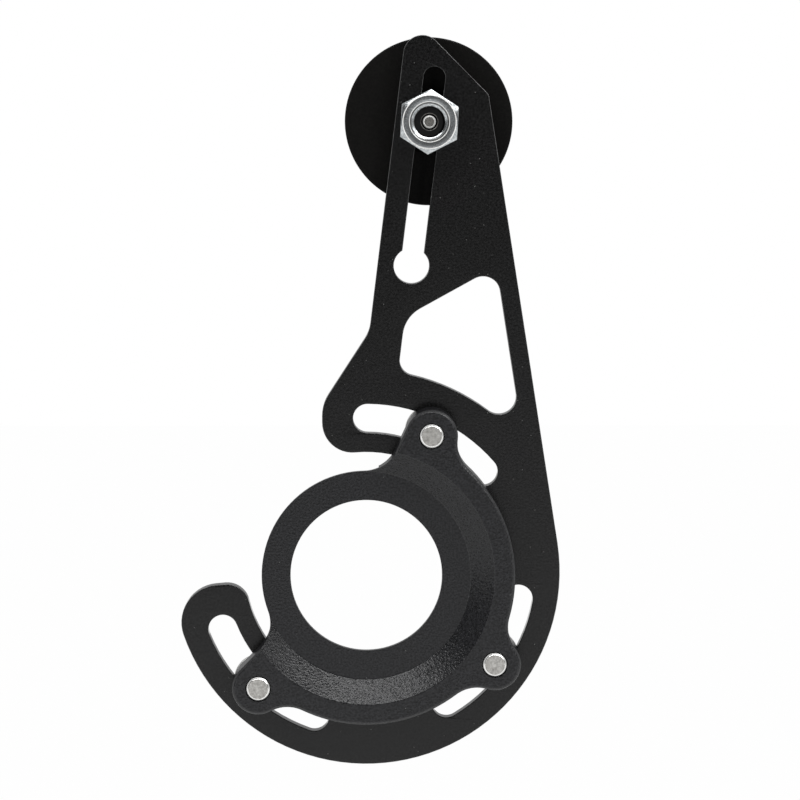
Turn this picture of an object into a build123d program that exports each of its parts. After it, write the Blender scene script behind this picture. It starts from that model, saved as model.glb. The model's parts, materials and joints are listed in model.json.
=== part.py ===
from build123d import *
import os
from math import acos, asin, cos, degrees, radians, sin, sqrt, tan

# Bicycle chain guide for a threaded bottom bracket, in millimetres.
# The plate stands in the XZ plane with +Z up. Y runs along the crank axle: -Y is the frame side, +Y the
# chainring side. The origin is the centre of the bottom bracket bore, on the face that seats on the shell.

# Bottom bracket adapter: a dished ring with a flange and three tapped lugs
bb_bore_d = 34.9
ring_d = 48.2
ring_thickness = 2.0
dish_depth = 3.8
cone_outer_d = 59.0
flange_d = 68.4
lug_height = 9.6
lug_r = 6.0
lug_blend_r = 8.0
cup_recess_d = 50.0
adapter_edge_chamfer = 0.6

# Mount bolts, on a circle about the bore
bolt_circle_d = 71.6
first_bolt_angle = 65.2
bolt_spacing_angle = 99.6
bolt_thread_d = 5.8
bolt_tip_chamfer = 0.45
bolt_tip_stand = 0.35
bolt_head_d = 10.0
bolt_head_height = 4.0
bolt_socket_af = 4.0
bolt_socket_depth = 2.3
washer_d = 12.0
washer_thickness = 1.6

# Back plate: a C-shaped band round the bottom bracket, and an arm that carries the roller
plate_thickness = 4.0
band_inner_r = 28.0
band_outer_r = 44.85
lobe_reach = 10.2
lobe_inner_r = 7.0
lobe_outer_r = 9.0
hook_angle = -175.2
hook_inner_r = 5.3
hook_land = 2.75
arc_slot_width = 6.7
arc_slot_half_sweep = 24.3

# Arm outline, leaning angles measured from +Z
arm_lean = 6.95
left_margin = 7.8
right_lean = 8.86
tip_slope = 45.4
tip_margin = 6.15
tip_r = 4.4
shoulder_r = 2.0
knee_lean = 33.0
knee_distance = 29.8
knee_r = 8.0

# Keyhole slot for the roller stud
keyhole_x = 10.45
keyhole_z = 71.04
keyhole_clearance = 0.1
stud_slot_width = 5.0
stud_slot_length = 43.6
stud_from_keyhole = 33.4

# Window in the arm
window_floor_gap = 2.1
window_right_wall = 4.25
window_left_wall = 7.75
window_top_gap = 9.6
window_top_slope = 28.9
window_left_r = 7.8
window_top_r = 4.0
window_right_r = 4.0
window_floor_r = 3.5

# Roller stud, its nut and the screw in its end
stud_nominal_d = 8.0
stud_thread_d = 7.1
stud_flat_clearance = 0.1
stud_flat_past_plate = 0.4
stud_end_recess = 1.6
collar_d = 12.0
journal_setback = 0.2
nut_af = 13.0
nut_height = 6.5
nut_turn = -3.0
nut_chamfer_d = 12.2
nut_chamfer_angle = 30.0
nut_countersink_d = 8.9
screw_thread_d = 2.95
screw_tip_chamfer = 0.33
screw_tip_stand = 0.35
screw_head_d = 5.5
screw_head_height = 2.0
screw_socket_af = 2.0
screw_socket_depth = 1.1
stud_mouth_d = 4.0
end_washer_d = 12.0
end_washer_thickness = 1.0

# Chain roller, its two bearings and the spacer between them
roller_d = 38.8
tread_d = 31.0
tread_width = 8.2
groove_flare = 1.2
roller_gap = 2.0
lip_thickness = 1.0
lip_gap = 1.0
bearing_d = 22.0
bearing_bore_d = 8.0
bearing_width = 7.0
outer_race_wall = 1.4
inner_race_wall = 2.0
seal_thickness = 0.8
seal_setback = 0.3
spacer_wall = 1.8
spacer_length = 1.0

# Fits, as radial clearances
thread_clearance = 0.05
bolt_hole_clearance = 0.3
press_clearance = 0.01
journal_clearance = 0.02
seal_clearance = 0.05

# Levels along the crank axle
lug_front_y = -dish_depth
plate_front_y = lug_height - dish_depth
plate_back_y = plate_front_y + plate_thickness
roller_front_y = plate_back_y + roller_gap
front_bearing_y = roller_front_y + lip_thickness
spacer_y = front_bearing_y + bearing_width
back_bearing_y = spacer_y + spacer_length
roller_back_y = back_bearing_y + bearing_width

bolt_angles = [first_bolt_angle - i * bolt_spacing_angle for i in range(3)]


def polar(radius, angle):
    return (radius * cos(radians(angle)), radius * sin(radians(angle)))


def leaning(angle):
    return (sin(radians(angle)), cos(radians(angle)))


def along(point, direction, distance):
    return (point[0] + direction[0] * distance, point[1] + direction[1] * distance)


def meet(p, u, q, v):
    """Crossing of the line through p along u with the line through q along v."""
    t = ((q[0] - p[0]) * v[1] - (q[1] - p[1]) * v[0]) / (u[0] * v[1] - u[1] * v[0])
    return along(p, u, t)


def circle_crossing(point, direction, radius):
    """Where a line leaves a circle about the origin, going along its direction."""
    to_foot = point[0] * direction[0] + point[1] * direction[1]
    offset = point[0] ** 2 + point[1] ** 2 - to_foot**2
    return along(point, direction, sqrt(radius**2 - offset) - to_foot)


def prism(sketch, y_front, y_back):
    """A sketch of the XZ plane, thickened between two levels along Y."""
    return extrude(Plane.XZ.offset(-y_back) * sketch, amount=y_back - y_front)


def turned(*points):
    """A solid of revolution about Y from (radius, y) points."""
    return revolve(make_face(Polyline(*points, close=True)), Axis.Y)


def ring(inner_r, outer_r, y_front, y_back):
    return turned((inner_r, y_front), (outer_r, y_front), (outer_r, y_back), (inner_r, y_back))


def rounded(sketch, point, radius):
    """The sketch with its corner nearest to a point rounded."""
    corner = sketch.vertices().sort_by_distance(Vector(*point))[0]
    return fillet(corner, radius)


def hexagon(across_flats):
    return RegularPolygon(across_flats / 2, 6, major_radius=False, rotation=90)


# Straight edges of the arm, a point on each and its direction
stud_axis = leaning(arm_lean)
keyhole = (keyhole_x, keyhole_z)
slot_top = along(keyhole, stud_axis, stud_slot_length)
stud_at = along(keyhole, stud_axis, stud_from_keyhole)
right_normal = polar(1, right_lean)
right_direction = polar(1, right_lean + 90)
left_normal = polar(1, 180 - arm_lean)
left_at = along(keyhole, left_normal, left_margin)


def make_adapter():
    ring_r = ring_d / 2
    flange_r = flange_d / 2
    bolt_r = bolt_circle_d / 2
    first, last = bolt_angles[0], bolt_angles[-1]

    fan = make_face(
        [
            Line((0, 0), polar(flange_r, first)),
            CenterArc((0, 0), flange_r, first, last - first),
            Line(polar(flange_r, last), (0, 0)),
        ]
    )
    outline = Circle(ring_r) + fan
    for angle in bolt_angles:
        outline += Pos(*polar(bolt_r, angle)) * Circle(lug_r)
    # Straight flanks of the two end lugs, on the side away from the flange
    for angle, side in ((first, 1), (last, -1)):
        flank = Pos(bolt_r / 2, side * lug_r / 2) * Rectangle(bolt_r, lug_r)
        outline += Rot(0, 0, angle) * flank

    # Concave blends: end lugs into the ring, and all lugs into the flange
    ring_turn = degrees(asin(lug_r / ring_r))
    cosine = (flange_r**2 + bolt_r**2 - lug_r**2) / (2 * flange_r * bolt_r)
    flange_turn = degrees(acos(cosine))
    corners = [polar(ring_r, first + ring_turn), polar(ring_r, last - ring_turn)]
    for angle in bolt_angles[:-1]:
        corners.append(polar(flange_r, angle - flange_turn))
    for angle in bolt_angles[1:]:
        corners.append(polar(flange_r, angle + flange_turn))
    for corner in corners:
        outline = rounded(outline, corner, lug_blend_r)

    body = prism(outline, lug_front_y, plate_front_y)
    body = chamfer(body.faces().sort_by(Axis.Y)[0].edges(), adapter_edge_chamfer)
    body -= turned(
        (0, 0),
        (ring_r, 0),
        (cone_outer_d / 2, lug_front_y),
        (cone_outer_d / 2, lug_front_y - dish_depth),
        (0, lug_front_y - dish_depth),
    )
    body -= ring(0, cup_recess_d / 2, ring_thickness, plate_front_y)
    body -= ring(0, bb_bore_d / 2, 0, ring_thickness)
    tap = ring(0, bolt_thread_d / 2 + thread_clearance, lug_front_y, plate_front_y)
    for angle in bolt_angles:
        x, z = polar(bolt_r, angle)
        body -= Pos(x, 0, z) * tap
    return body


def make_band():
    """The C-shaped band, from its hook round to the foot of the arm."""
    foot_angle = 90
    sweep = foot_angle - hook_angle
    band = make_face(
        [
            CenterArc((0, 0), band_outer_r, hook_angle, sweep),
            Line(polar(band_outer_r, foot_angle), polar(band_inner_r, foot_angle)),
            CenterArc((0, 0), band_inner_r, foot_angle, -sweep),
            Line(polar(band_inner_r, hook_angle), polar(band_outer_r, hook_angle)),
        ]
    )
    hook_outer_r = band_outer_r - band_inner_r - hook_inner_r - hook_land
    band = rounded(band, polar(band_outer_r, hook_angle), hook_outer_r)
    return rounded(band, polar(band_inner_r, hook_angle), hook_inner_r)


def make_window():
    """The arm's window: three straight sides over a floor that follows the band."""
    floor_r = band_outer_r + window_floor_gap
    left_side = along(left_at, left_normal, -window_left_wall)
    right_side = along((0, 0), right_normal, band_outer_r - window_right_wall)
    top_side = along(keyhole, polar(1, window_top_slope - 90), window_top_gap)
    top_direction = polar(1, window_top_slope)
    window_left = meet(left_side, stud_axis, top_side, top_direction)
    window_top = meet(top_side, top_direction, right_side, right_direction)
    left_foot = meet(left_side, stud_axis, (0, 0), left_normal)
    sides = Polyline((0, 0), left_foot, window_left, window_top, right_side, close=True)
    window = make_face(sides) - Circle(floor_r)
    floor_right = circle_crossing(right_side, right_direction, floor_r)
    floor_left = circle_crossing(left_side, stud_axis, floor_r)
    window = rounded(window, window_left, window_left_r)
    window = rounded(window, window_top, window_top_r)
    window = rounded(window, floor_right, window_right_r)
    return rounded(window, floor_left, window_floor_r)


def make_plate():
    # The arm, from the knee over the tip and down the right edge, a tangent of the band, to the lobe's end
    knee_direction = leaning(knee_lean)
    knee_side = polar(knee_distance, 180 - knee_lean)
    knee = meet(knee_side, knee_direction, left_at, stud_axis)
    lobe_foot = (-lobe_reach, 0)
    lobe_corner = meet(knee_side, knee_direction, lobe_foot, leaning(0))
    lobe_inner_corner = circle_crossing(lobe_foot, leaning(0), band_inner_r)
    right_tangent = polar(band_outer_r, right_lean)
    tip_side = along(slot_top, polar(1, 90 - tip_slope), tip_margin)
    tip_direction = polar(1, 180 - tip_slope)
    shoulder = meet(right_tangent, right_direction, tip_side, tip_direction)
    tip = meet(tip_side, tip_direction, left_at, stud_axis)
    arm_sides = Polyline(knee, tip, shoulder, right_tangent, (0, 0), lobe_foot, lobe_corner, close=True)
    arm = make_face(arm_sides)
    outline = make_band() + (arm - Circle(band_inner_r))
    outline = rounded(outline, tip, tip_r)
    outline = rounded(outline, shoulder, shoulder_r)
    outline = rounded(outline, knee, knee_r)
    outline = rounded(outline, lobe_corner, lobe_outer_r)
    outline = rounded(outline, lobe_inner_corner, lobe_inner_r)

    outline -= make_window()
    for angle in bolt_angles:
        arc = CenterArc((0, 0), bolt_circle_d / 2, angle - arc_slot_half_sweep, 2 * arc_slot_half_sweep)
        outline -= SlotArc(arc, arc_slot_width)
    outline -= Pos(*keyhole) * Circle(stud_nominal_d / 2 + keyhole_clearance)
    outline -= SlotArc(Line(keyhole, slot_top), stud_slot_width)

    return prism(outline, plate_front_y, plate_back_y)


def low_head(head_d, head_height, socket_af, socket_depth, y_seat):
    """A low cylinder head with a hexagon socket, seated at a level and standing towards +Y."""
    top_y = y_seat + head_height
    head = ring(0, head_d / 2, y_seat, top_y)
    return head - prism(hexagon(socket_af), top_y - socket_depth, top_y)


def make_mount_bolts():
    seat_y = plate_back_y + washer_thickness
    tip_y = lug_front_y - bolt_tip_stand
    thread_r = bolt_thread_d / 2
    shank = turned(
        (0, tip_y),
        (thread_r - bolt_tip_chamfer, tip_y),
        (thread_r, tip_y + bolt_tip_chamfer),
        (thread_r, seat_y),
        (0, seat_y),
    )
    bolt = shank + low_head(bolt_head_d, bolt_head_height, bolt_socket_af, bolt_socket_depth, seat_y)
    return at_bolts(bolt)


def make_mount_washers():
    hole_r = bolt_thread_d / 2 + bolt_hole_clearance
    return at_bolts(ring(hole_r, washer_d / 2, plate_back_y, plate_back_y + washer_thickness))


def at_bolts(shape):
    copies = []
    for angle in bolt_angles:
        x, z = polar(bolt_circle_d / 2, angle)
        copies.append(Pos(x, 0, z) * shape)
    return Compound(children=copies)


def at_stud(shape):
    return Pos(stud_at[0], 0, stud_at[1]) * shape


def make_stud():
    journal_r = bearing_bore_d / 2 - journal_clearance
    thread_r = stud_thread_d / 2
    end_y = plate_front_y - nut_height + stud_end_recess
    hole_r = screw_thread_d / 2 + thread_clearance
    mouth_depth = stud_mouth_d / 2 - hole_r
    body = turned(
        (hole_r, end_y + mouth_depth),
        (stud_mouth_d / 2, end_y),
        (thread_r, end_y),
        (thread_r, plate_back_y),
        (collar_d / 2, plate_back_y),
        (collar_d / 2, front_bearing_y),
        (journal_r, front_bearing_y),
        (journal_r, roller_back_y - journal_setback),
        (hole_r, roller_back_y - journal_setback),
    )
    # Two flats that guide the stud in its slot
    flat_x = stud_slot_width / 2 - stud_flat_clearance
    flat_front_y = plate_front_y - stud_flat_past_plate
    for side in (-1, 1):
        cut = Pos(side * (flat_x + stud_thread_d / 2), 0) * Rectangle(stud_thread_d, 2 * stud_thread_d)
        body -= prism(Rot(0, 0, -arm_lean) * cut, flat_front_y, plate_back_y)
    return at_stud(body)


def make_nut():
    front_y = plate_front_y - nut_height
    bore_r = stud_thread_d / 2 + thread_clearance
    hexagon_bar = prism(Rot(0, 0, nut_turn) * hexagon(nut_af), front_y, plate_front_y)
    corner_r = nut_af / sqrt(3)
    chamfer_r = nut_chamfer_d / 2
    chamfer_y = (corner_r - chamfer_r) * tan(radians(nut_chamfer_angle))
    countersink_r = nut_countersink_d / 2
    countersink_y = countersink_r - bore_r
    envelope = turned(
        (countersink_r, front_y),
        (chamfer_r, front_y),
        (corner_r, front_y + chamfer_y),
        (corner_r, plate_front_y),
        (bore_r, plate_front_y),
        (bore_r, front_y + countersink_y),
    )
    return at_stud(hexagon_bar & envelope)


def make_screw():
    seat_y = roller_back_y + end_washer_thickness
    tip_y = plate_front_y - nut_height + stud_end_recess - screw_tip_stand
    thread_r = screw_thread_d / 2
    shank = turned(
        (0, tip_y),
        (thread_r - screw_tip_chamfer, tip_y),
        (thread_r, tip_y + screw_tip_chamfer),
        (thread_r, seat_y),
        (0, seat_y),
    )
    head = low_head(screw_head_d, screw_head_height, screw_socket_af, screw_socket_depth, seat_y)
    return at_stud(shank + head)


def make_screw_washer():
    hole_r = screw_thread_d / 2 + bolt_hole_clearance
    return at_stud(ring(hole_r, end_washer_d / 2, roller_back_y, roller_back_y + end_washer_thickness))


def make_roller():
    """A grooved wheel, bored from the back for its bearings up to a lip that covers them in front."""
    bore_r = bearing_d / 2 + press_clearance
    lip_r = collar_d / 2 + lip_gap
    rim = roller_d / 2
    tread_r = tread_d / 2
    mid_y = (roller_front_y + roller_back_y) / 2
    half_tread = tread_width / 2
    half_mouth = half_tread + groove_flare
    wheel = turned(
        (lip_r, roller_front_y),
        (rim, roller_front_y),
        (rim, mid_y - half_mouth),
        (tread_r, mid_y - half_tread),
        (tread_r, mid_y + half_tread),
        (rim, mid_y + half_mouth),
        (rim, roller_back_y),
        (bore_r, roller_back_y),
        (bore_r, front_bearing_y),
        (lip_r, front_bearing_y),
    )
    return at_stud(wheel)


def make_bearing(y_front, y_seal):
    """The three pieces of one bearing, by name. Its seal is on the side that faces out of the roller."""
    outer_r = bearing_d / 2
    race_r = outer_r - outer_race_wall
    bore_r = bearing_bore_d / 2
    inner_r = bore_r + inner_race_wall
    y_back = y_front + bearing_width
    lip_r = inner_r + seal_clearance
    seat_r = race_r - press_clearance
    pieces = {
        "outer_race": ring(race_r, outer_r, y_front, y_back),
        "inner_race": ring(bore_r, inner_r, y_front, y_back),
        "seal": ring(lip_r, seat_r, y_seal, y_seal + seal_thickness),
    }
    return {name: at_stud(piece) for name, piece in pieces.items()}


def make_bearing_spacer():
    inner_r = bearing_bore_d / 2
    return at_stud(ring(inner_r, inner_r + spacer_wall, spacer_y, spacer_y + spacer_length))


nodes = {
    "bb_adapter": make_adapter(),
    "mount_bolts": make_mount_bolts(),
    "mount_washers": make_mount_washers(),
    "back_plate": make_plate(),
    "roller_stud": make_stud(),
    "axle_nut": make_nut(),
    "roller_screw": make_screw(),
    "screw_washer": make_screw_washer(),
    "chain_roller": make_roller(),
    "bearing_spacer": make_bearing_spacer(),
}
front_seal_y = front_bearing_y + seal_setback
back_seal_y = roller_back_y - seal_setback - seal_thickness
bearings = {
    "front_bearing": make_bearing(front_bearing_y, front_seal_y),
    "back_bearing": make_bearing(back_bearing_y, back_seal_y),
}
for bearing, pieces in bearings.items():
    for piece, shape in pieces.items():
        nodes[f"{bearing}_{piece}"] = shape

os.makedirs("parts", exist_ok=True)
for node, shape in nodes.items():
    export_step(shape, f"parts/{node}.step")
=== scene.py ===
import json
from math import pi, radians, sqrt, tan

import bpy
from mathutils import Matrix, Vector


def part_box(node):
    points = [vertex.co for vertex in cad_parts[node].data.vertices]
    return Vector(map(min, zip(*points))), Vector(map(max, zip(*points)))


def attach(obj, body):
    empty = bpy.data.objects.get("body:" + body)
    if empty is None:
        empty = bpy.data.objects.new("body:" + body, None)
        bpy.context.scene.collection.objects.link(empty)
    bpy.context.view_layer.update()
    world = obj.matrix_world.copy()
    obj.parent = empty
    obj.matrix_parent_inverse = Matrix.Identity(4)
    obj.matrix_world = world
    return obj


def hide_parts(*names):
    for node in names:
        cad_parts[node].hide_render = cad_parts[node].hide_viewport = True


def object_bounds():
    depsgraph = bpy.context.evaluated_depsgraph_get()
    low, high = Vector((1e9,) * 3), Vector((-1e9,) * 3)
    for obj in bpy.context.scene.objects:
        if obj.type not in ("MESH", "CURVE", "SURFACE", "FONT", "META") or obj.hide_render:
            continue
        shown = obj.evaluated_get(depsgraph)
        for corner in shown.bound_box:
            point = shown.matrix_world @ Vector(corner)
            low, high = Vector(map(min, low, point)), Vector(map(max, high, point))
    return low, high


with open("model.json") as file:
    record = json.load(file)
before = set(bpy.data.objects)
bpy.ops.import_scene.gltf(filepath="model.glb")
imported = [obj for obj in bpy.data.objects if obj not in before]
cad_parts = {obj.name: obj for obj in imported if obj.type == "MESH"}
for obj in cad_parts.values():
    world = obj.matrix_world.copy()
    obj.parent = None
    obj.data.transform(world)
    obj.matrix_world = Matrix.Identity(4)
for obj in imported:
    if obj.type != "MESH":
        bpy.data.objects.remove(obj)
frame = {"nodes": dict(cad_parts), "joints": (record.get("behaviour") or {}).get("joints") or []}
cad_low, cad_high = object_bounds()

# Bottom bracket adapter: the dished ring that the cup clamps to the frame, with three tapped lugs.
# Turned and milled from aluminium, bead blasted and anodised black.
# Its edges are broken by hand and painted a little lighter, partly as rubbing and partly as a painted
# highlight, and its cone shows the grain most.
mm = 0.001
adapter_edge_width = 0.14 * mm
adapter_edge_angle = 22
adapter_grain = 0.46 * mm
adapter_dark = (0.0045, 0.0046, 0.0053, 1)
adapter_light = (0.0205, 0.0208, 0.0232, 1)
adapter_rubbed_highlight = (0.18, 0.18, 0.182, 1)
cone_tilt_least, cone_tilt_most = 0.79, 0.85
weld_distance = 0.002 * mm
flat_angle = 0.2
smooth_angle = 32
grain_low, grain_high = 0.34, 0.68
dust_spacing = 1.0 * mm
dust_radius = 0.11
dust_color = (0.15, 0.15, 0.145, 1)
# Lightened edges: partly rubbing, partly a painted highlight on the rounded edge strips.
rub_highlight_scale = 260.0
rub_highlight_start, rub_highlight_softness = 0.75, 0.25
rubbed_highlight_metal = 0.5
mix_a, mix_b, mix_color = 6, 7, 2  # sockets of a Mix node that blends colours


def select_only(piece):
    bpy.ops.object.select_all(action="DESELECT")
    piece.select_set(True)
    bpy.context.view_layer.objects.active = piece


def copy_of_node(node, name):
    """A merged copy of a solid's mesh, as a new piece."""
    piece = bpy.data.objects.new(name, frame["nodes"][node].data.copy())
    bpy.context.collection.objects.link(piece)
    select_only(piece)
    piece.data.materials.clear()
    bpy.ops.mesh.customdata_custom_splitnormals_clear()
    bpy.ops.object.mode_set(mode="EDIT")
    bpy.ops.mesh.select_all(action="SELECT")
    bpy.ops.mesh.remove_doubles(threshold=weld_distance)
    bpy.ops.object.mode_set(mode="OBJECT")
    return piece


def join_flat_triangles(piece):
    """Makes one face of all the triangles that lie in one plane."""
    select_only(piece)
    bpy.ops.object.mode_set(mode="EDIT")
    bpy.ops.mesh.select_all(action="SELECT")
    bpy.ops.mesh.dissolve_limited(angle_limit=radians(flat_angle))
    bpy.ops.object.mode_set(mode="OBJECT")


def soften_edges(piece, width, segments=3, angle=30, material=-1):
    """Rounds the edges sharper than an angle. The rounded strips can take a material of their own."""
    select_only(piece)
    bevel = piece.modifiers.new("soft edges", "BEVEL")
    bevel.limit_method = "ANGLE"
    bevel.angle_limit = radians(angle)
    bevel.width = width
    bevel.segments = segments
    bevel.use_clamp_overlap = False
    bevel.material = material
    bpy.ops.object.modifier_apply(modifier=bevel.name)


def fit_piece(piece, body, nodes, materials):
    """Gives a finished piece its shading, its materials and its place on the guide."""
    select_only(piece)
    bpy.ops.object.shade_smooth_by_angle(angle=radians(smooth_angle))
    flat_faces = piece.modifiers.new("flat faces stay flat", "WEIGHTED_NORMAL")
    flat_faces.weight = 100
    flat_faces.keep_sharp = True
    bpy.ops.object.modifier_apply(modifier=flat_faces.name)
    for material in materials:
        piece.data.materials.append(material)
    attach(piece, body)
    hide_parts(*nodes)


def feed(tree, socket, value):
    """Sets a socket to a value, or links it to the socket that feeds it."""
    if isinstance(value, bpy.types.NodeSocket):
        tree.links.new(value, socket)
    else:
        socket.default_value = value


def place(tree, kind, inputs, **settings):
    node = tree.nodes.new(kind)
    for name, value in settings.items():
        setattr(node, name, value)
    for name, value in inputs.items():
        feed(tree, node.inputs[name], value)
    return node


def calculate(tree, operation, first, second):
    return place(tree, "ShaderNodeMath", {0: first, 1: second}, operation=operation).outputs[0]


def remap(tree, value, low, high, start=0.0, end=1.0):
    """A value that runs from start to end while the given one runs from low to high."""
    ends = {"Value": value, "From Min": low, "From Max": high, "To Min": start, "To Max": end}
    return place(tree, "ShaderNodeMapRange", ends).outputs["Result"]


def noise(tree, where, scale, detail, roughness):
    inputs = {"Vector": where, "Scale": scale, "Detail": detail, "Roughness": roughness}
    return place(tree, "ShaderNodeTexNoise", inputs).outputs["Fac"]


def blend_colors(tree, share, first, second):
    return place(
        tree, "ShaderNodeMix", {0: share, mix_a: first, mix_b: second}, data_type="RGBA"
    ).outputs[mix_color]


def object_place(tree):
    return place(tree, "ShaderNodeTexCoord", {}).outputs["Object"]


def new_group(name, inputs, outputs):
    """An empty node group with named sockets: its tree, its input sockets and its output sockets."""
    tree = bpy.data.node_groups.new(name, "ShaderNodeTree")
    for socket, kind, value in inputs:
        made = tree.interface.new_socket(socket, in_out="INPUT", socket_type=kind)
        made.default_value = value
    for socket, kind in outputs:
        tree.interface.new_socket(socket, in_out="OUTPUT", socket_type=kind)
    entry = tree.nodes.new("NodeGroupInput")
    leaving = tree.nodes.new("NodeGroupOutput")
    return tree, entry.outputs, leaving.inputs


def make_grain_group():
    """Fine grain of a surface between two colours, its height, and a few specks of dust."""
    tree, given, put_out = new_group(
        "fine_grain",
        [
            ("Dark", "NodeSocketColor", (0, 0, 0, 1)),
            ("Light", "NodeSocketColor", (1, 1, 1, 1)),
            ("Size", "NodeSocketFloat", 0.001),
            ("Dust", "NodeSocketFloat", 0.0),
        ],
        [("Color", "NodeSocketColor"), ("Height", "NodeSocketFloat")],
    )
    where = object_place(tree)
    grain = noise(tree, where, calculate(tree, "DIVIDE", 1.0, given["Size"]), detail=1.0, roughness=0.5)
    finish = blend_colors(tree, remap(tree, grain, grain_low, grain_high), given["Dark"], given["Light"])
    cells = place(tree, "ShaderNodeTexVoronoi", {"Vector": where, "Scale": 1 / dust_spacing}).outputs
    speck = calculate(tree, "LESS_THAN", cells["Distance"], dust_radius)
    chance = place(tree, "ShaderNodeSeparateColor", {"Color": cells["Color"]}).outputs["Red"]
    chosen = calculate(tree, "LESS_THAN", chance, given["Dust"])
    dust = calculate(tree, "MULTIPLY", speck, chosen)
    tree.links.new(blend_colors(tree, dust, finish, dust_color), put_out["Color"])
    tree.links.new(grain, put_out["Height"])
    return tree


def make_rub_highlight_group():
    """Uneven lightening of an edge, where the finish gives way to a lighter colour: partly rubbing through
    the finish, partly a painted highlight.
    """
    tree, given, put_out = new_group(
        "edge_rub_highlight",
        [
            ("Finish", "NodeSocketColor", (0, 0, 0, 1)),
            ("Bare_and_highlight", "NodeSocketColor", (1, 1, 1, 1)),
            ("Wear_and_highlight", "NodeSocketFloat", 0.5),
        ],
        [("Color", "NodeSocketColor"), ("Mask", "NodeSocketFloat")],
    )
    patches = noise(tree, object_place(tree), rub_highlight_scale, detail=6.0, roughness=0.72)
    start = calculate(tree, "SUBTRACT", rub_highlight_start, given["Wear_and_highlight"])
    end = calculate(tree, "ADD", start, rub_highlight_softness)
    mask = remap(tree, patches, start, end)
    tree.links.new(blend_colors(tree, mask, given["Finish"], given["Bare_and_highlight"]), put_out["Color"])
    tree.links.new(mask, put_out["Mask"])
    return tree


def new_material(name):
    material = bpy.data.materials.new(name)
    material.use_nodes = True
    return material, material.node_tree, material.node_tree.nodes["Principled BSDF"]


def set_bump(tree, shader, height, distance, strength):
    bump = place(tree, "ShaderNodeBump", {"Height": height, "Distance": distance, "Strength": strength})
    tree.links.new(bump.outputs["Normal"], shader.inputs["Normal"])


def anodised(name, dark, light, size, roughness, gloss, depth, dust=0.0):
    """A black face with its grain, as anodised, blackened or moulded pieces have it."""
    material, tree, shader = new_material(name)
    finish = {"Dark": dark, "Light": light, "Size": size, "Dust": dust}
    grain = place(tree, "ShaderNodeGroup", finish, node_tree=grain_group).outputs
    tree.links.new(grain["Color"], shader.inputs["Base Color"])
    shader.inputs["Roughness"].default_value = roughness
    shader.inputs["Specular IOR Level"].default_value = gloss
    set_bump(tree, shader, grain["Height"], depth, strength=1.0)
    return material


def rubbed_and_highlit_edge(name, finish, bare_and_highlight, wear_and_highlight, roughness):
    """A black edge, lightened unevenly: partly rubbing, partly a painted highlight."""
    material, tree, shader = new_material(name)
    colors = {"Finish": finish, "Bare_and_highlight": bare_and_highlight, "Wear_and_highlight": wear_and_highlight}
    rub_highlight = place(tree, "ShaderNodeGroup", colors, node_tree=rub_highlight_group).outputs
    tree.links.new(rub_highlight["Color"], shader.inputs["Base Color"])
    tree.links.new(calculate(tree, "MULTIPLY", rub_highlight["Mask"], rubbed_highlight_metal), shader.inputs["Metallic"])
    shader.inputs["Roughness"].default_value = roughness
    return material


grain_group = make_grain_group()
rub_highlight_group = make_rub_highlight_group()
adapter = copy_of_node("bb_adapter", "adapter")
join_flat_triangles(adapter)
soften_edges(adapter, adapter_edge_width, segments=2, angle=adapter_edge_angle, material=1)
for face in adapter.data.polygons:
    if cone_tilt_least < -face.normal.y < cone_tilt_most:
        face.material_index = 2
blasted_black = anodised(
    "blasted_black",
    adapter_dark,
    adapter_light,
    adapter_grain,
    roughness=0.28,
    gloss=0.45,
    depth=0.05 * mm,
    dust=0.02,
)
# Its rounded edge strips are painted lighter: partly rubbing, partly a painted highlight.
blasted_edge = rubbed_and_highlit_edge("blasted_edge", adapter_light, adapter_rubbed_highlight, wear_and_highlight=0.40, roughness=0.36)
blasted_cone = anodised(
    "blasted_cone", adapter_dark, adapter_light, adapter_grain, roughness=0.24, gloss=0.40, depth=0.12 * mm
)
fit_piece(adapter, "adapter", ["bb_adapter"], [blasted_black, blasted_edge, blasted_cone])

# Back plate: the C-shaped band round the bottom bracket and the arm that carries the roller, one flat piece.
# Cut from 4 mm aluminium sheet with smooth walls, tumbled and anodised satin black.
# It is clamped between the lugs and the washers, and its arc slots let it swing.
plate_edge_round = 0.20 * mm
plate_grain = 0.48 * mm
plate_dark = (0.0008, 0.0008, 0.0008, 1)
plate_light = (0.0110, 0.0110, 0.0112, 1)
plate_rubbed_highlight = (0.15, 0.15, 0.15, 1)
front_normal = -0.9
wall_tilt, face_tilt = 0.08, 0.96


def front_outline(node, name):
    """The outline of a flat solid's front face and of its holes, as a curve laid in the XY plane."""
    piece = copy_of_node(node, name)
    bpy.context.tool_settings.mesh_select_mode = (False, False, True)
    for face in piece.data.polygons:
        face.select = face.normal.y < front_normal
    bpy.ops.object.mode_set(mode="EDIT")
    bpy.ops.mesh.region_to_loop()
    bpy.ops.mesh.duplicate()
    bpy.context.tool_settings.mesh_select_mode = (True, False, False)
    bpy.ops.mesh.select_all(action="INVERT")
    bpy.ops.mesh.delete(type="VERT")
    bpy.ops.object.mode_set(mode="OBJECT")
    piece.rotation_euler.x = -pi / 2
    bpy.ops.object.transform_apply(rotation=True)
    bpy.ops.object.convert(target="CURVE")
    return piece


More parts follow.
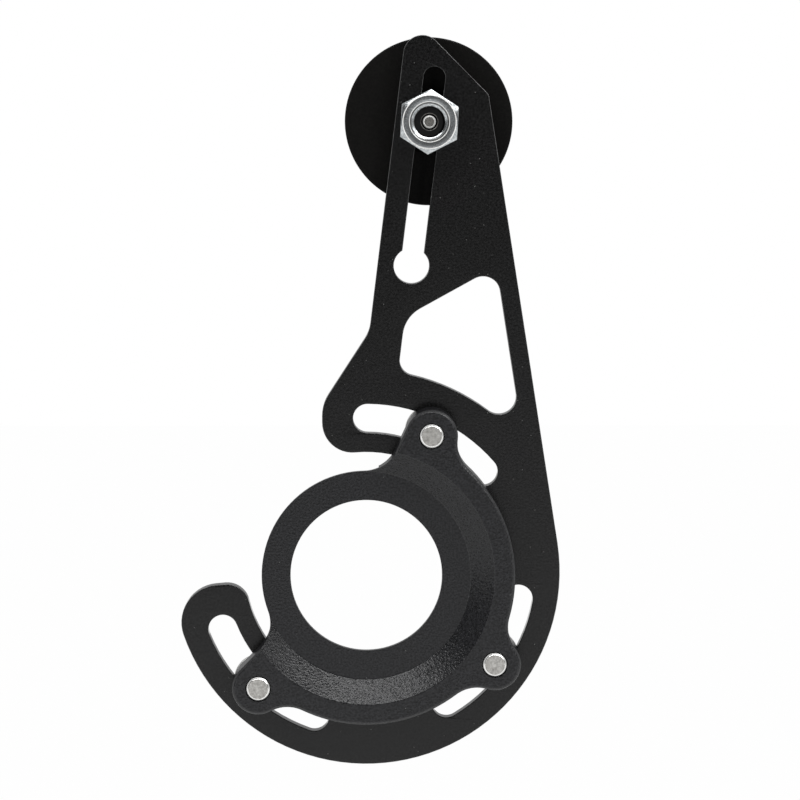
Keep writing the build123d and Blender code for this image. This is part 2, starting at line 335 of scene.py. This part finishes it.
plate_low, plate_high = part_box("back_plate")
plate = front_outline("back_plate", "plate")
plate.data.dimensions = "2D"
plate.data.fill_mode = "BOTH"
plate.data.extrude = (plate_high.y - plate_low.y) / 2 - plate_edge_round
plate.data.bevel_depth = plate_edge_round
plate.data.bevel_resolution = 2
plate.data.offset = -plate_edge_round
bpy.ops.object.convert(target="MESH")
plate.location.y = (plate_low.y + plate_high.y) / 2
plate.rotation_euler.x = pi / 2
bpy.ops.object.transform_apply(location=True, rotation=True)
bpy.ops.object.mode_set(mode="EDIT")
bpy.ops.mesh.select_all(action="SELECT")
bpy.ops.mesh.remove_doubles(threshold=weld_distance)
bpy.ops.mesh.normals_make_consistent(inside=False)
bpy.ops.object.mode_set(mode="OBJECT")
for face in plate.data.polygons:
    tilt = abs(face.normal.y)
    face.material_index = 2 if tilt < wall_tilt else int(tilt < face_tilt)
satin_black = anodised(
    "satin_black",
    plate_dark,
    plate_light,
    plate_grain,
    roughness=0.21,
    gloss=0.42,
    depth=0.012 * mm,
    dust=0.10,
)
# Its rounded edges are painted lighter: partly rubbing, partly a painted highlight.
satin_edge = rubbed_and_highlit_edge("satin_edge", plate_light, plate_rubbed_highlight, wear_and_highlight=0.42, roughness=0.36)
cut_wall = anodised(
    "cut_wall", plate_dark, plate_light, plate_grain, roughness=0.10, gloss=0.50, depth=0.002 * mm
)
fit_piece(plate, "plate", ["back_plate"], [satin_black, satin_edge, cut_wall])

# Mount washers: three plain washers between the bolt heads and the plate, over its arc slots.
# Stamped from steel sheet, tumbled round at the edges and zinc plated.
# One is modelled and copied to the other two bolts.
washer_low, washer_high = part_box("mount_washers")
washer_radius = 6.0 * mm
washer_hole_radius = 3.2 * mm
washer_edge_round = 0.25 * mm
zinc_dark = (0.52, 0.52, 0.51, 1)
zinc_light = (0.84, 0.84, 0.82, 1)
zinc_patch = 0.7 * mm
patch_low, patch_high = 0.32, 0.7
ring_segments = 96


def bolt_centres():
    """Places of the three bolts, read from their washers. The top one is first."""
    copy_of_node("mount_washers", "washer_places")
    bpy.ops.object.mode_set(mode="EDIT")
    bpy.ops.mesh.separate(type="LOOSE")
    bpy.ops.object.mode_set(mode="OBJECT")
    parts = list(bpy.context.selected_objects)
    places = []
    for part in parts:
        corners = [Vector(corner) for corner in part.bound_box]
        places.append(sum(corners, Vector()) / len(corners))
    for part in parts:
        bpy.data.objects.remove(part)
    return sorted(places, key=lambda spot: -spot.z)


def turned(name, centre, profile, ring=False, segments=ring_segments):
    """A turned piece about a line along Y: a circle drawn out step by step along a profile of (radius, y)."""
    radius, y = profile[0]
    bpy.ops.object.select_all(action="DESELECT")
    bpy.ops.mesh.primitive_circle_add(
        vertices=segments, radius=radius, location=(centre.x, y, centre.z), rotation=(pi / 2, 0, 0)
    )
    piece = bpy.context.object
    piece.name = name
    piece.data.name = name
    bpy.ops.object.transform_apply(location=True, rotation=True, scale=True)
    bpy.ops.object.mode_set(mode="EDIT")
    bpy.ops.mesh.select_all(action="SELECT")
    for next_radius, next_y in profile[1:]:
        bpy.ops.mesh.extrude_edges_move(TRANSFORM_OT_translate={"value": (0, next_y - y, 0)})
        growth = next_radius / radius
        bpy.ops.transform.resize(value=(growth, 1, growth), center_override=(centre.x, next_y, centre.z))
        radius, y = next_radius, next_y
    bpy.context.tool_settings.mesh_select_mode = (False, True, False)
    bpy.ops.mesh.select_all(action="DESELECT")
    bpy.ops.mesh.select_non_manifold()
    if ring:
        bpy.ops.mesh.bridge_edge_loops()
    else:
        bpy.ops.mesh.fill_holes(sides=0)
    bpy.ops.mesh.select_all(action="SELECT")
    bpy.ops.mesh.normals_make_consistent(inside=False)
    bpy.ops.object.mode_set(mode="OBJECT")
    return piece


def turned_ring(name, centre, inner_radius, outer_radius, front, back):
    profile = [(inner_radius, front), (outer_radius, front), (outer_radius, back), (inner_radius, back)]
    return turned(name, centre, profile, ring=True)


def copies_at(piece, spots):
    """Copies of a piece at the other spots, each with its own mesh. The first spot is the piece's own."""
    pieces = [piece]
    for spot in spots[1:]:
        other = piece.copy()
        other.data = piece.data.copy()
        bpy.context.collection.objects.link(other)
        select_only(other)
        other.location = (spot.x - spots[0].x, 0, spot.z - spots[0].z)
        bpy.ops.object.transform_apply(location=True)
        pieces.append(other)
    return pieces


def join_pieces(pieces, name):
    select_only(pieces[0])
    for piece in pieces[1:]:
        piece.select_set(True)
    bpy.ops.object.join()
    pieces[0].name = name
    return pieces[0]


def make_mottle_group():
    """Mottling of plated steel: soft patches with a finer grain over them, and the height of small dents."""
    tree, given, put_out = new_group(
        "mottle",
        [
            ("Dark", "NodeSocketColor", (0, 0, 0, 1)),
            ("Light", "NodeSocketColor", (1, 1, 1, 1)),
            ("Size", "NodeSocketFloat", 0.001),
        ],
        [("Color", "NodeSocketColor"), ("Height", "NodeSocketFloat"), ("Patch", "NodeSocketFloat")],
    )
    where = object_place(tree)
    scale = calculate(tree, "DIVIDE", 1.0, given["Size"])
    patches = noise(tree, where, scale, detail=5.0, roughness=0.65)
    share = remap(tree, patches, patch_low, patch_high)
    dents = place(tree, "ShaderNodeTexVoronoi", {"Vector": where, "Scale": scale}).outputs["Distance"]
    tree.links.new(blend_colors(tree, share, given["Dark"], given["Light"]), put_out["Color"])
    tree.links.new(calculate(tree, "ADD", patches, dents), put_out["Height"])
    tree.links.new(share, put_out["Patch"])
    return tree


def plated(name, dark, light, size, smooth, rough, depth):
    """Plated steel, mottled between two greys, glossier where it is lighter."""
    material, tree, shader = new_material(name)
    colors = {"Dark": dark, "Light": light, "Size": size}
    mottle = place(tree, "ShaderNodeGroup", colors, node_tree=mottle_group).outputs
    tree.links.new(mottle["Color"], shader.inputs["Base Color"])
    tree.links.new(remap(tree, mottle["Patch"], 0.0, 1.0, rough, smooth), shader.inputs["Roughness"])
    shader.inputs["Metallic"].default_value = 1.0
    set_bump(tree, shader, mottle["Height"], depth, strength=0.5)
    return material


mottle_group = make_mottle_group()
centres = bolt_centres()
washer = turned_ring("washer", centres[0], washer_hole_radius, washer_radius, washer_low.y, washer_high.y)
soften_edges(washer, washer_edge_round)
washers = join_pieces(copies_at(washer, centres), "washers")
washer_zinc = plated(
    "washer_zinc", zinc_dark, zinc_light, zinc_patch, smooth=0.24, rough=0.40, depth=0.03 * mm
)
fit_piece(washers, "adapter", ["mount_washers"], [washer_zinc])

# Mount bolts: three M6 bolts with low socket heads, through the slots and just proud of the lugs in front.
# Cold headed steel with rolled threads, zinc plated.
# The ends are cropped and chamfered, with a bright rim round a dull mottled face.
bolt_low, bolt_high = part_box("mount_bolts")
bolt_radius = 2.9 * mm
bolt_tip_chamfer = 0.6 * mm
bolt_pitch = 1.0 * mm
bolt_thread_root = 2.4 * mm
bolt_head_radius = 5.0 * mm
bolt_head_height = 4.0 * mm
bolt_head_round = 0.5 * mm
bolt_socket_flats = 4.0 * mm
bolt_socket_depth = 2.3 * mm
bolt_edge_round = 0.08 * mm
bolt_patch = 0.8 * mm
bolt_dark = (0.36, 0.35, 0.33, 1)
bolt_light = (0.80, 0.79, 0.755, 1)
# Rim colour: plating rubbed bright on the bolts, a near-white painted highlight on the screw's chamfer and
# the nut's lines.
rim_and_highlight_color = (0.95, 0.95, 0.93, 1)
rim_wear_and_highlight = 0.55
thread_steps = 40
thread_fill = 0.8
thread_overlap = 0.05 * mm


def hexagon_bar(name, centre, flats, front, back):
    """A six-sided bar along Y with a corner towards +Z."""
    bpy.ops.object.select_all(action="DESELECT")
    bpy.ops.mesh.primitive_cylinder_add(
        vertices=6,
        radius=flats / sqrt(3),
        depth=back - front,
        location=(centre.x, (front + back) / 2, centre.z),
        rotation=(pi / 2, 0, 0),
    )
    bar = bpy.context.object
    bar.name = name
    bpy.ops.object.transform_apply(location=True, rotation=True, scale=True)
    return bar


def combine(piece, tool, operation):
    """Cuts or trims a piece by a tool, which is used up."""
    select_only(piece)
    boolean = piece.modifiers.new("combine", "BOOLEAN")
    boolean.operation = operation
    boolean.solver = "EXACT"
    boolean.object = tool
    bpy.ops.object.modifier_apply(modifier=boolean.name)
    bpy.data.objects.remove(tool)


def socket_screw(
    name,
    centre,
    tip,
    top,
    radius,
    tip_chamfer,
    head_radius,
    head_height,
    head_round,
    socket_flats,
    socket_depth,
    edge_round,
):
    """A plain screw along Y from its chamfered tip to the top of its head, which has a six-sided socket."""
    piece = turned(
        name,
        centre,
        [
            (radius - tip_chamfer, tip),
            (radius, tip + tip_chamfer),
            (radius, top - head_height),
            (head_radius, top - head_height),
            (head_radius, top - head_round),
            (head_radius - head_round, top),
        ],
    )
    socket = hexagon_bar("socket", centre, socket_flats, top - socket_depth, top + head_height)
    combine(piece, socket, "DIFFERENCE")
    soften_edges(piece, edge_round, segments=2)
    return piece


def cut_thread(piece, centre, surface, root, pitch, front, back):
    """Cuts a V thread: a three-sided bar wound on a helix, from just off the surface down to the root."""
    outside = surface + thread_overlap * (1 if surface > root else -1)
    depth = root - outside
    bpy.ops.object.select_all(action="DESELECT")
    bpy.ops.mesh.primitive_circle_add(vertices=3, radius=1)
    bar = bpy.context.object
    bar.rotation_euler.z = -pi / 2
    bar.scale = (thread_fill * pitch / sqrt(3), depth / 1.5, 1)
    bar.location.x = outside + depth / 3
    bpy.ops.object.transform_apply(location=True, rotation=True, scale=True)
    winding = bar.modifiers.new("winding", "SCREW")
    winding.axis = "Y"
    winding.angle = 2 * pi
    winding.screw_offset = pitch
    winding.iterations = round((back - front) / pitch)
    winding.steps = thread_steps
    winding.render_steps = thread_steps
    winding.use_merge_vertices = False
    bpy.ops.object.modifier_apply(modifier=winding.name)
    bar.location = (centre.x, front, centre.z)
    bpy.ops.object.transform_apply(location=True)
    bpy.ops.object.mode_set(mode="EDIT")
    bpy.ops.mesh.select_all(action="SELECT")
    bpy.ops.mesh.fill_holes(sides=0)
    bpy.ops.mesh.select_all(action="SELECT")
    bpy.ops.mesh.normals_make_consistent(inside=False)
    bpy.ops.object.mode_set(mode="OBJECT")
    combine(piece, bar, "DIFFERENCE")


def mark_tilted(piece, last_y, least=0.2, most=0.97):
    """Gives the second material to the faces in front of a depth that are tilted away from the front."""
    for face in piece.data.polygons:
        if face.center.y < last_y and least < -face.normal.y < most:
            face.material_index = 1


def burnished_and_painted_highlight(name, metal, roughness):
    """Plating rubbed bright, as on the bolt rims. With little metal, as on the screw's chamfer and the nut's
    lines, it is a near-white painted highlight.
    """
    material, tree, shader = new_material(name)
    colors = {"Finish": bolt_light, "Bare_and_highlight": rim_and_highlight_color, "Wear_and_highlight": rim_wear_and_highlight}
    rub_highlight = place(tree, "ShaderNodeGroup", colors, node_tree=rub_highlight_group).outputs
    tree.links.new(rub_highlight["Color"], shader.inputs["Base Color"])
    shader.inputs["Metallic"].default_value = metal
    shader.inputs["Roughness"].default_value = roughness
    return material


bolt = socket_screw(
    "bolt",
    centres[0],
    bolt_low.y,
    bolt_high.y,
    bolt_radius,
    bolt_tip_chamfer,
    bolt_head_radius,
    bolt_head_height,
    bolt_head_round,
    bolt_socket_flats,
    bolt_socket_depth,
    bolt_edge_round,
)
thread_start = bolt_low.y + bolt_tip_chamfer + bolt_pitch / 2
thread_end = bolt_high.y - bolt_head_height - bolt_pitch
cut_thread(bolt, centres[0], bolt_radius, bolt_thread_root, bolt_pitch, thread_start, thread_end)
bolts = join_pieces(copies_at(bolt, centres), "bolts")
mark_tilted(bolts, bolt_low.y + bolt_tip_chamfer)
bolt_zinc = plated("bolt_zinc", bolt_dark, bolt_light, bolt_patch, smooth=0.28, rough=0.45, depth=0.012 * mm)
bright_rim = burnished_and_painted_highlight("bright_rim", metal=1.0, roughness=0.18)
fit_piece(bolts, "adapter", ["mount_bolts"], [bolt_zinc, bright_rim])

# Roller stud: the roller's hollow axle, with a collar on the plate and two flats that guide it in its slot.
# Turned from steel and blackened.
# Its threaded end takes the nut in front, and its journal the two bearings.
stud_joint = next(joint for joint in frame["joints"] if joint["name"] == "roller_spin")
stud_centre = Vector(stud_joint["pos_m"])
stud_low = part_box("roller_stud")[0]
stud_radius = 3.55 * mm
stud_thread_root = 3.05 * mm
stud_pitch = 1.25 * mm
stud_edge_round = 0.08 * mm
stud_grain = 0.3 * mm
stud_dark = (0.0030, 0.0030, 0.0031, 1)
stud_light = (0.0080, 0.0080, 0.0082, 1)
stud_rubbed_highlight = (0.60, 0.57, 0.53, 1)
stud = copy_of_node("roller_stud", "stud")
join_flat_triangles(stud)
soften_edges(stud, stud_edge_round, segments=2)
thread_start = stud_low.y - stud_pitch
thread_end = plate_low.y - stud_pitch
cut_thread(stud, stud_centre, stud_radius, stud_thread_root, stud_pitch, thread_start, thread_end)
mark_tilted(stud, stud_low.y + stud_edge_round)
black_oxide = anodised(
    "black_oxide", stud_dark, stud_light, stud_grain, roughness=0.34, gloss=0.22, depth=0.01 * mm
)
# The tilted faces at its front are painted tan: partly rubbed oxide, partly a painted highlight.
oxide_edge = rubbed_and_highlit_edge("oxide_edge", stud_light, stud_rubbed_highlight, wear_and_highlight=0.34, roughness=0.30)
fit_piece(stud, "roller_carrier", ["roller_stud"], [black_oxide, oxide_edge])

# Roller bearings: two small ball bearings on the stud, each sealed on the side that faces out of the roller.
# Hardened steel races, ground bright, and a moulded rubber seal with a lip that runs on the inner race.
# The outer races are pressed into the roller, and the inner races are clamped on the stud.
outer_race_radius = 11.0 * mm
outer_race_wall = 1.4 * mm
inner_race_radius = 6.0 * mm
inner_race_bore = 4.0 * mm
race_edge_round = 0.3 * mm
race_patch = 0.9 * mm
race_dark = (0.50, 0.50, 0.50, 1)
race_light = (0.68, 0.68, 0.68, 1)
seal_lip_radius = 6.05 * mm
seal_seat_radius = 9.59 * mm
seal_bead = 0.45 * mm
seal_dip = 0.2 * mm
seal_edge_round = 0.06 * mm
seal_grain = 0.25 * mm
seal_dark = (0.006, 0.006, 0.006, 1)
seal_light = (0.013, 0.013, 0.013, 1)
ground_steel = plated(
    "ground_steel", race_dark, race_light, race_patch, smooth=0.16, rough=0.26, depth=0.004 * mm
)
seal_rubber = anodised(
    "seal_rubber", seal_dark, seal_light, seal_grain, roughness=0.55, gloss=0.25, depth=0.02 * mm
)
for side, outward in (("front", -1), ("back", 1)):
    race_low, race_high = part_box(f"{side}_bearing_outer_race")
    outer = turned_ring(
        f"{side}_outer_race",
        stud_centre,
        outer_race_radius - outer_race_wall,
        outer_race_radius,
        race_low.y,
        race_high.y,
    )
    soften_edges(outer, race_edge_round)
    fit_piece(outer, "roller", [f"{side}_bearing_outer_race"], [ground_steel])
    inner = turned_ring(
        f"{side}_inner_race", stud_centre, inner_race_bore, inner_race_radius, race_low.y, race_high.y
    )
    soften_edges(inner, race_edge_round)
    fit_piece(inner, "roller_carrier", [f"{side}_bearing_inner_race"], [ground_steel])
    seal_low, seal_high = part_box(f"{side}_bearing_seal")
    seal_out = seal_high.y if outward > 0 else seal_low.y
    seal_in = seal_low.y if outward > 0 else seal_high.y
    dip = seal_out - outward * seal_dip
    seal = turned(
        f"{side}_seal",
        stud_centre,
        [
            (seal_lip_radius, seal_in),
            (seal_lip_radius, seal_out),
            (seal_lip_radius + seal_bead, seal_out),
            (seal_lip_radius + 2 * seal_bead, dip),
            (seal_seat_radius - 2 * seal_bead, dip),
            (seal_seat_radius - seal_bead, seal_out),
            (seal_seat_radius, seal_out),
            (seal_seat_radius, seal_in),
        ],
        ring=True,
    )
    soften_edges(seal, seal_edge_round, segments=2)
    fit_piece(seal, "roller", [f"{side}_bearing_seal"], [seal_rubber])

# Bearing spacer: a thin steel ring between the two inner races, inside the roller.
# It keeps the inner races as far apart as the outer races stand in the roller, so the clamped balls run free.
spacer_low, spacer_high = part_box("bearing_spacer")
spacer_radius = (spacer_high.z - spacer_low.z) / 2
spacer_edge_round = 0.1 * mm
spacer = turned_ring("spacer", stud_centre, inner_race_bore, spacer_radius, spacer_low.y, spacer_high.y)
soften_edges(spacer, spacer_edge_round, segments=2)
fit_piece(spacer, "roller_carrier", ["bearing_spacer"], [ground_steel])

# Chain roller: the grooved wheel that the chain runs on, pressed over the two bearings.
# Turned from black nylon bar, so that fine rings from the tool show on its faces.
# It is bored from the back, and a thin lip covers the front bearing.
roller_low, roller_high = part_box("chain_roller")
front_race_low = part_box("front_bearing_outer_race")[0]
roller_mid = (roller_low.y + roller_high.y) / 2
roller_rim_radius = (roller_high.z - roller_low.z) / 2
roller_bore_radius = 11.01 * mm
roller_lip_radius = 7.0 * mm
tread_radius = 15.5 * mm
tread_width = 8.2 * mm
groove_mouth = 10.6 * mm
rim_round = 0.4 * mm
roller_segments = 160
roller_grain = 0.4 * mm
roller_dark = (0.0026, 0.0024, 0.0022, 1)
roller_light = (0.0050, 0.0047, 0.0042, 1)
roller_roughness = 0.5
roller_gloss = 0.10
tool_ring_pitch = 0.35 * mm
tool_ring_depth = 0.01 * mm
wave_texture_period = 0.314
roller = turned(
    "roller",
    stud_centre,
    [
        (roller_lip_radius, roller_low.y),
        (roller_rim_radius, roller_low.y),
        (roller_rim_radius, roller_mid - groove_mouth / 2),
        (tread_radius, roller_mid - tread_width / 2),
        (tread_radius, roller_mid + tread_width / 2),
        (roller_rim_radius, roller_mid + groove_mouth / 2),
        (roller_rim_radius, roller_high.y),
        (roller_bore_radius, roller_high.y),
        (roller_bore_radius, front_race_low.y),
        (roller_lip_radius, front_race_low.y),
    ],
    ring=True,
    segments=roller_segments,
)
soften_edges(roller, rim_round, segments=4)
turned_nylon, tree, shader = new_material("turned_nylon")
about_axle = place(tree, "ShaderNodeMapping", {"Vector": object_place(tree), "Location": -stud_centre})
rings = place(
    tree,
    "ShaderNodeTexWave",
    {
        "Vector": about_axle.outputs["Vector"],
        "Scale": wave_texture_period / tool_ring_pitch,
        "Distortion": 0.6,
        "Detail": 2.0,
    },
    wave_type="RINGS",
    rings_direction="Y",
).outputs["Fac"]
nylon_finish = {"Dark": roller_dark, "Light": roller_light, "Size": roller_grain}
grain = place(tree, "ShaderNodeGroup", nylon_finish, node_tree=grain_group).outputs
tree.links.new(grain["Color"], shader.inputs["Base Color"])
shader.inputs["Roughness"].default_value = roller_roughness
shader.inputs["Specular IOR Level"].default_value = roller_gloss
set_bump(tree, shader, calculate(tree, "ADD", rings, grain["Height"]), tool_ring_depth, strength=0.5)
fit_piece(roller, "roller", ["chain_roller"], [turned_nylon])

# Screw washer: a plain washer that holds the inner races on the stud, under the head of the roller screw.
# Stamped from steel sheet and zinc plated, as the mount washers are.
end_washer_low, end_washer_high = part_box("screw_washer")
end_washer_radius = (end_washer_high.z - end_washer_low.z) / 2
end_washer_hole_radius = 1.78 * mm
end_washer_edge_round = 0.2 * mm
end_washer = turned_ring(
    "end_washer",
    stud_centre,
    end_washer_hole_radius,
    end_washer_radius,
    end_washer_low.y,
    end_washer_high.y,
)
soften_edges(end_washer, end_washer_edge_round)
fit_piece(end_washer, "roller_carrier", ["screw_washer"], [washer_zinc])

# Roller screw: an M3 screw with a low socket head, right through the stud, whose end shows inside the nut.
# Cold headed steel with a chamfered end, zinc plated, coloured darker than the other plating as painted shade
# of the stud's bore, with a near-white painted highlight on its chamfer. Its thread is hidden in the stud and
# left plain.
screw_low, screw_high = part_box("roller_screw")
screw_radius = 1.475 * mm
screw_tip_chamfer = 0.33 * mm
screw_head_radius = 2.75 * mm
screw_head_height = 2.0 * mm
screw_head_round = 0.3 * mm
screw_socket_flats = 2.0 * mm
screw_socket_depth = 1.1 * mm
screw_edge_round = 0.05 * mm
screw_patch = 0.4 * mm
# Darker than the other zinc: painted shade of the stud's bore round the screw's end.
screw_shade_dark = (0.26, 0.25, 0.235, 1)
screw_shade_light = (0.50, 0.485, 0.46, 1)
screw = socket_screw(
    "screw",
    stud_centre,
    screw_low.y,
    screw_high.y,
    screw_radius,
    screw_tip_chamfer,
    screw_head_radius,
    screw_head_height,
    screw_head_round,
    screw_socket_flats,
    screw_socket_depth,
    screw_edge_round,
)
mark_tilted(screw, screw_low.y + screw_tip_chamfer)
screw_zinc_painted_shade = plated(
    "screw_zinc_painted_shade", screw_shade_dark, screw_shade_light, screw_patch, smooth=0.20, rough=0.36, depth=0.01 * mm
)
# The tip's chamfer is a near-white painted highlight.
screw_painted_highlight = burnished_and_painted_highlight("screw_painted_highlight", metal=0.2, roughness=0.25)
fit_piece(screw, "roller_carrier", ["roller_screw"], [screw_zinc_painted_shade, screw_painted_highlight])

# Axle nut: the M8 hexagon nut that clamps the stud in its slot, on the frame side of the plate.
# Cold formed steel, zinc plated and tumbled, so that its faces are mottled. The strips round its front face
# carry a near-white painted highlight, and its mouth and thread are coloured darker as painted shade.
# Its front corners are chamfered and its thread is countersunk there. Its plain back lies on the plate.
nut_low, nut_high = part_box("axle_nut")
nut_flats = 13.0 * mm
nut_turn = radians(3)
nut_face_radius = 6.1 * mm
nut_bore_radius = 3.6 * mm
nut_thread_root = 4.15 * mm
nut_countersink_radius = 4.55 * mm
nut_countersink_depth = 0.55 * mm
nut_first_turn_depth = 0.85 * mm
nut_chamfer_slope = tan(radians(30))
nut_edge_round = 0.13 * mm
nut_sharp_angle = radians(20)
nut_weld_distance = 0.001 * mm
nut_patch = 0.6 * mm
nut_dark = (0.30, 0.32, 0.33, 1)
nut_light = (0.78, 0.81, 0.82, 1)
# Tilts of the strips round the front face, which take a near-white painted highlight.
highlight_tilt_least, highlight_tilt_most = 0.875, 0.995
recess_tilt = 0.7
recess_patch = 0.5 * mm
# Painted shade: the nut's mouth and thread are coloured darker than its faces.
recess_shade_dark = (0.10, 0.10, 0.10, 1)
recess_shade_light = (0.34, 0.34, 0.33, 1)
nut_corner_radius = nut_flats / sqrt(3)
nut_chamfer = (nut_corner_radius - nut_face_radius) * nut_chamfer_slope
nut = hexagon_bar("nut", stud_centre, nut_flats, nut_low.y, nut_high.y)
envelope = turned(
    "envelope",
    stud_centre,
    [
        (nut_countersink_radius, nut_low.y),
        (nut_face_radius, nut_low.y),
        (nut_corner_radius, nut_low.y + nut_chamfer),
        (nut_corner_radius, nut_high.y),
        (nut_bore_radius, nut_high.y),
        (nut_bore_radius, nut_low.y + nut_first_turn_depth),
        (nut_thread_root, nut_low.y + nut_countersink_depth),
    ],
    ring=True,
)
combine(nut, envelope, "INTERSECT")
thread_start = nut_low.y - stud_pitch
thread_end = nut_high.y + stud_pitch
cut_thread(nut, stud_centre, nut_bore_radius, nut_thread_root, stud_pitch, thread_start, thread_end)


def axle_distance(point):
    return Vector((point.x - stud_centre.x, point.z - stud_centre.z)).length


bpy.context.tool_settings.mesh_select_mode = (False, True, False)
bpy.ops.object.mode_set(mode="EDIT")
bpy.ops.mesh.select_all(action="DESELECT")
bpy.ops.mesh.edges_select_sharp(sharpness=nut_sharp_angle)
bpy.ops.object.mode_set(mode="OBJECT")
for face in nut.data.polygons:
    face.select = False  # a selected face would bring its edges back
for edge in nut.data.edges:
    ends = [nut.data.vertices[index].co for index in edge.vertices]
    outside = min(axle_distance(end) for end in ends) > (nut_thread_root + nut_countersink_radius) / 2
    in_front = min(end.y for end in ends) < nut_high.y - nut_edge_round
    edge.select = edge.select and outside and in_front
bpy.ops.object.mode_set(mode="EDIT")
bpy.ops.mesh.bevel(offset=nut_edge_round, segments=3)
bpy.ops.mesh.select_all(action="SELECT")
bpy.ops.transform.rotate(value=-nut_turn, orient_axis="Y", center_override=stud_centre)
bpy.ops.mesh.remove_doubles(threshold=nut_weld_distance)
bpy.ops.object.mode_set(mode="OBJECT")
# Near-white painted highlight on the strips round the front face.
mark_tilted(nut, nut_low.y + nut_edge_round, highlight_tilt_least, highlight_tilt_most)
# Painted shade in the mouth and the thread: darker zinc there.
for face in nut.data.polygons:
    in_mouth = axle_distance(face.center) < nut_countersink_radius - nut_edge_round
    if in_mouth and -face.normal.y < recess_tilt:
        face.material_index = 2
nut_zinc = plated("nut_zinc", nut_dark, nut_light, nut_patch, smooth=0.16, rough=0.30, depth=0.012 * mm)
nut_painted_highlight = burnished_and_painted_highlight("nut_painted_highlight", metal=0.1, roughness=0.30)
nut_recess_painted_shade = plated(
    "nut_recess_painted_shade", recess_shade_dark, recess_shade_light, recess_patch, smooth=0.24, rough=0.40, depth=0.012 * mm
)
fit_piece(nut, "roller_carrier", ["axle_nut"], [nut_zinc, nut_painted_highlight, nut_recess_painted_shade])

# White studio: a floor well below the guide, soft lamps above and beside it, and the camera in front.
# The floor and the world are white to the camera.
# As a light, the world is dim in front and straight behind, so that the black faces stay dark.
middle = (cad_low + cad_high) / 2
white = (1, 1, 1, 1)
floor_drop = 0.35
floor_size = 10.0
floor_color = (0.9, 0.9, 0.9, 1)
floor_roughness = 0.9
white_to_camera, white_in_reflections = 0.985, 0.80
front_ramp, front_level = (-0.35, 0.05), 0.08
back_ramp, back_level = (0.2, 0.8), 0.4
lamp_spots_sizes_powers = {
    "top_softbox": ((0.09, -0.31, 0.62), (1.3, 0.16), 4.6),
    "right_softbox": ((1.0, -0.52, 0.62), (0.6, 0.24), 1.2),
    "left_strip": ((-0.46, -0.80, 0.10), (0.10, 0.7), 0.8),
    "right_strip": ((0.46, -0.80, 0.10), (0.10, 0.7), 0.8),
}
camera_spot = Vector((-0.00030, -0.900, 0.11200))
camera_pitch = radians(4.540)
camera_yaw = radians(0.513)
camera_lens = 177.06
camera_reach = 20

bpy.ops.object.select_all(action="DESELECT")
bpy.ops.mesh.primitive_plane_add(size=floor_size, location=(0, 0, cad_low.z - floor_drop))
floor = bpy.context.object
floor.name = "floor"
white_floor, tree, shader = new_material("white_floor")
shader.inputs["Base Color"].default_value = floor_color
shader.inputs["Roughness"].default_value = floor_roughness
path = place(tree, "ShaderNodeLightPath", {}).outputs
seen = calculate(tree, "MULTIPLY", path["Is Camera Ray"], white_to_camera)
mirrored = calculate(tree, "MULTIPLY", path["Is Glossy Ray"], white_in_reflections)
share = calculate(tree, "MAXIMUM", seen, mirrored)
paper_white = place(tree, "ShaderNodeEmission", {"Color": white, "Strength": 1.0}).outputs[0]
mixed = place(tree, "ShaderNodeMixShader", {0: share, 1: shader.outputs[0], 2: paper_white}).outputs[0]
tree.links.new(mixed, tree.nodes["Material Output"].inputs["Surface"])
floor.data.materials.append(white_floor)

world = bpy.data.worlds.new("white_studio")
world.use_nodes = True
bpy.context.scene.world = world
tree = world.node_tree
background = tree.nodes["Background"]
path = place(tree, "ShaderNodeLightPath", {}).outputs
seen = calculate(tree, "MAXIMUM", path["Is Camera Ray"], path["Is Transmission Ray"])
direction = place(tree, "ShaderNodeTexCoord", {}).outputs["Generated"]
depth = place(tree, "ShaderNodeSeparateXYZ", {"Vector": direction}).outputs["Y"]
front_side = remap(tree, depth, *front_ramp, front_level, 1.0)
back_side = remap(tree, depth, *back_ramp, 1.0, back_level)
around = calculate(tree, "MINIMUM", front_side, back_side)
tree.links.new(calculate(tree, "MAXIMUM", around, seen), background.inputs["Strength"])
background.inputs["Color"].default_value = white

for name, (spot, size, power) in lamp_spots_sizes_powers.items():
    lamp = bpy.data.lights.new(name, "AREA")
    lamp.shape = "RECTANGLE"
    lamp.size, lamp.size_y = size
    lamp.energy = power
    holder = bpy.data.objects.new(name, lamp)
    bpy.context.collection.objects.link(holder)
    holder.visible_camera = False
    holder.location = spot
    holder.rotation_euler = (middle - holder.location).to_track_quat("-Z", "Y").to_euler()

camera = bpy.data.cameras.new("camera")
camera.lens = camera_lens
camera.clip_end = camera_reach
camera_holder = bpy.data.objects.new("camera", camera)
bpy.context.collection.objects.link(camera_holder)
camera_holder.location = camera_spot
camera_holder.rotation_euler = (pi / 2 - camera_pitch, 0, -camera_yaw)
bpy.context.scene.camera = camera_holder
bpy.context.scene.view_settings.view_transform = "Standard"
